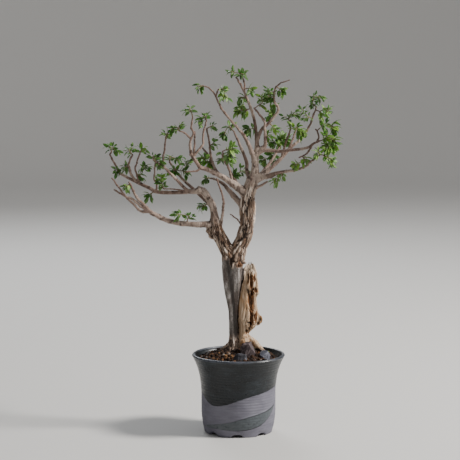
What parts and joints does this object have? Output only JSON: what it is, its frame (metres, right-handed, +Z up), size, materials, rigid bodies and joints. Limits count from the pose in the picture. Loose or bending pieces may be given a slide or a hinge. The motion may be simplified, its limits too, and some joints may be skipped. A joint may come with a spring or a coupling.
{
  "type": "potted bonsai tree",
  "caption": "Small deciduous bonsai with a forked trunk, deadwood, fine twigs and small leafy shoots, in a flared half-glazed stoneware pot with soil and stones.",
  "frame": {"origin": "bottom centre of the whole object's box, on the surface that the pot stands on", "axes": "+Z up along the tree, -Y towards the viewer's front side of the pot, +X to its right"},
  "size_m": [0.2798, 0.121, 0.4365],
  "materials": {
    "glazed_stoneware": "satin",
    "plastic_net": "matte",
    "aluminium_wire": "satin",
    "soil": "matte",
    "stone": "matte",
    "bark": "matte",
    "foliage": "satin"
  },
  "bodies": {
    "root": {"drain_net": "plastic_net", "net_clip": "aluminium_wire", "pot": "glazed_stoneware", "shoot_01": "foliage", "shoot_02": "foliage", "shoot_03": "foliage", "shoot_04": "foliage", "shoot_05": "foliage", "shoot_06": "foliage", "shoot_07": "foliage", "shoot_08": "foliage", "shoot_09": "foliage", "shoot_10": "foliage", "shoot_11": "foliage", "shoot_12": "foliage", "shoot_13": "foliage", "shoot_14": "foliage", "shoot_15": "foliage", "shoot_16": "foliage", "shoot_17": "foliage", "shoot_18": "foliage", "shoot_19": "foliage", "shoot_20": "foliage", "shoot_21": "foliage", "shoot_22": "foliage", "shoot_23": "foliage", "shoot_24": "foliage", "shoot_25": "foliage", "shoot_26": "foliage", "shoot_27": "foliage", "shoot_28": "foliage", "shoot_29": "foliage", "shoot_30": "foliage", "shoot_31": "foliage", "shoot_32": "foliage", "shoot_33": "foliage", "shoot_34": "foliage", "shoot_35": "foliage", "shoot_36": "foliage", "shoot_37": "foliage", "shoot_38": "foliage", "shoot_39": "foliage", "shoot_40": "foliage", "shoot_41": "foliage", "shoot_42": "foliage", "shoot_43": "foliage", "shoot_44": "foliage", "shoot_45": "foliage", "shoot_46": "foliage", "shoot_47": "foliage", "shoot_48": "foliage", "shoot_49": "foliage", "shoot_50": "foliage", "shoot_51": "foliage", "shoot_52": "foliage", "soil": "soil", "stone_blue": "stone", "stone_dark": "stone", "stone_small": "stone", "trunk_and_branches": "bark"}
  },
  "joints": []
}
